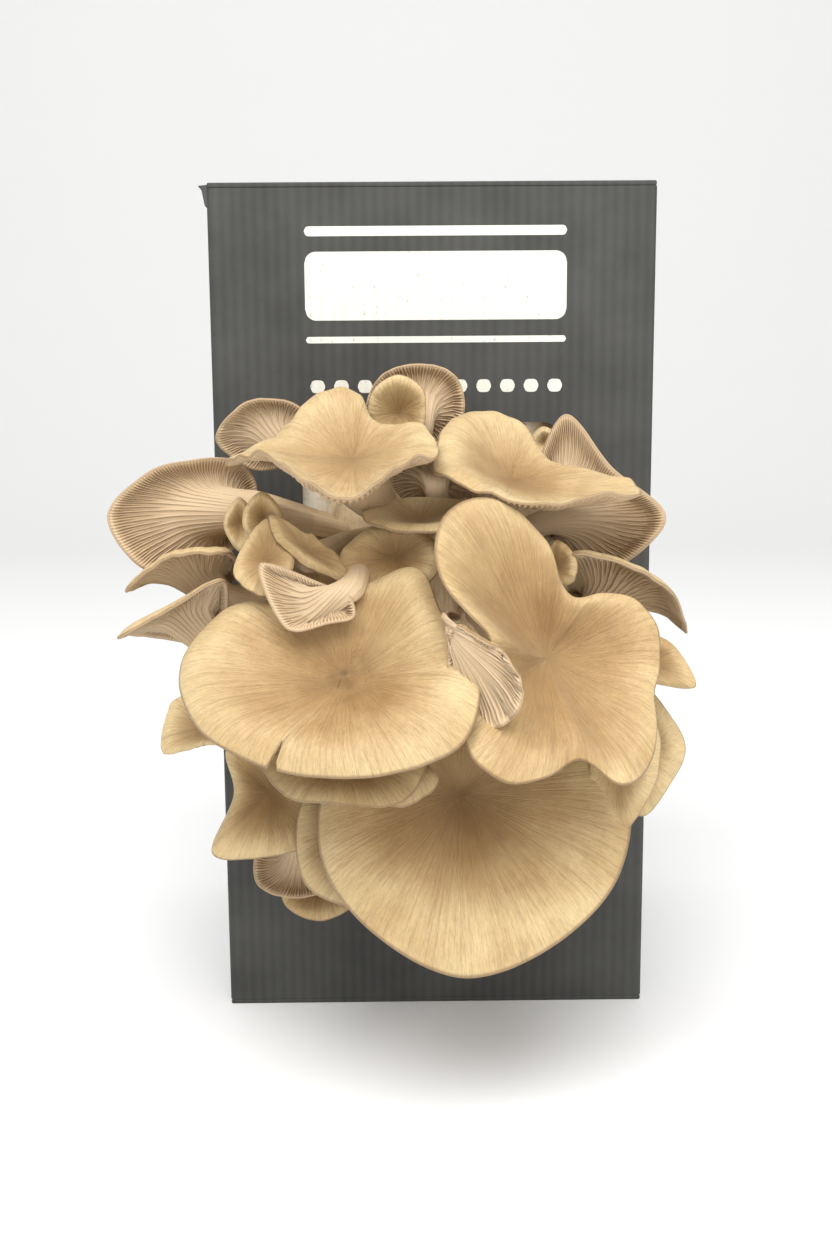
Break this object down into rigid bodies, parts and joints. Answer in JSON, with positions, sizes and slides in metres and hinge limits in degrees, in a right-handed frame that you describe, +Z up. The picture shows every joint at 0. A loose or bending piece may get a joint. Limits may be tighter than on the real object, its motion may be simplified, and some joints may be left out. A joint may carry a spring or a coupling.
{
  "type": "oyster mushroom grow kit",
  "caption": "Tall closed carton with a window in its front, a bagged block of substrate inside, and a dense cluster of oyster mushrooms that has grown out of the window.",
  "frame": {"origin": "middle of the carton's underside", "axes": "+Z up, the window and the mushrooms face -Y, +X to the right as seen from the front"},
  "size_m": [0.171, 0.2305, 0.27],
  "materials": {
    "dark_board": "matt dark grey print on fluted board",
    "bag_film": "clear, slightly milky film",
    "substrate": "sawdust knitted together by white mycelium",
    "cluster_base": "firm pale flesh, slightly downy",
    "mushroom_flesh": "satin tan caps, paler margins, pinkish-beige gills"
  },
  "bodies": {
    "root": {"carton": "dark_board", "grow_bag": "bag_film", "substrate_block": "substrate", "cluster_base": "cluster_base", "mushroom_front_left": "mushroom_flesh", "mushroom_front_right": "mushroom_flesh", "mushroom_bottom": "mushroom_flesh", "mushroom_upper_left": "mushroom_flesh", "mushroom_upper_right": "mushroom_flesh", "mushroom_pale_gill": "mushroom_flesh", "mushroom_centre": "mushroom_flesh", "mushroom_under_shelf": "mushroom_flesh", "mushroom_under_frill": "mushroom_flesh", "mushroom_right_point": "mushroom_flesh", "mushroom_right_inner": "mushroom_flesh", "mushroom_right_outer": "mushroom_flesh", "mushroom_right_shelf": "mushroom_flesh", "mushroom_small_curl": "mushroom_flesh", "mushroom_right_fan": "mushroom_flesh", "mushroom_crown_inner": "mushroom_flesh", "mushroom_crown_back": "mushroom_flesh", "mushroom_left_ear": "mushroom_flesh", "mushroom_far_left": "mushroom_flesh", "mushroom_left_shelf": "mushroom_flesh", "mushroom_left_low": "mushroom_flesh", "mushroom_left_tip": "mushroom_flesh", "mushroom_left_fold": "mushroom_flesh", "mushroom_inner_band": "mushroom_flesh", "mushroom_knuckle_inner": "mushroom_flesh", "mushroom_knuckle_outer": "mushroom_flesh", "mushroom_centre_band": "mushroom_flesh", "mushroom_centre_back": "mushroom_flesh", "mushroom_bottom_collar": "mushroom_flesh", "mushroom_lower_left": "mushroom_flesh", "mushroom_lower_gill": "mushroom_flesh", "mushroom_lower_back": "mushroom_flesh", "mushroom_bud": "mushroom_flesh"}
  },
  "joints": []
}
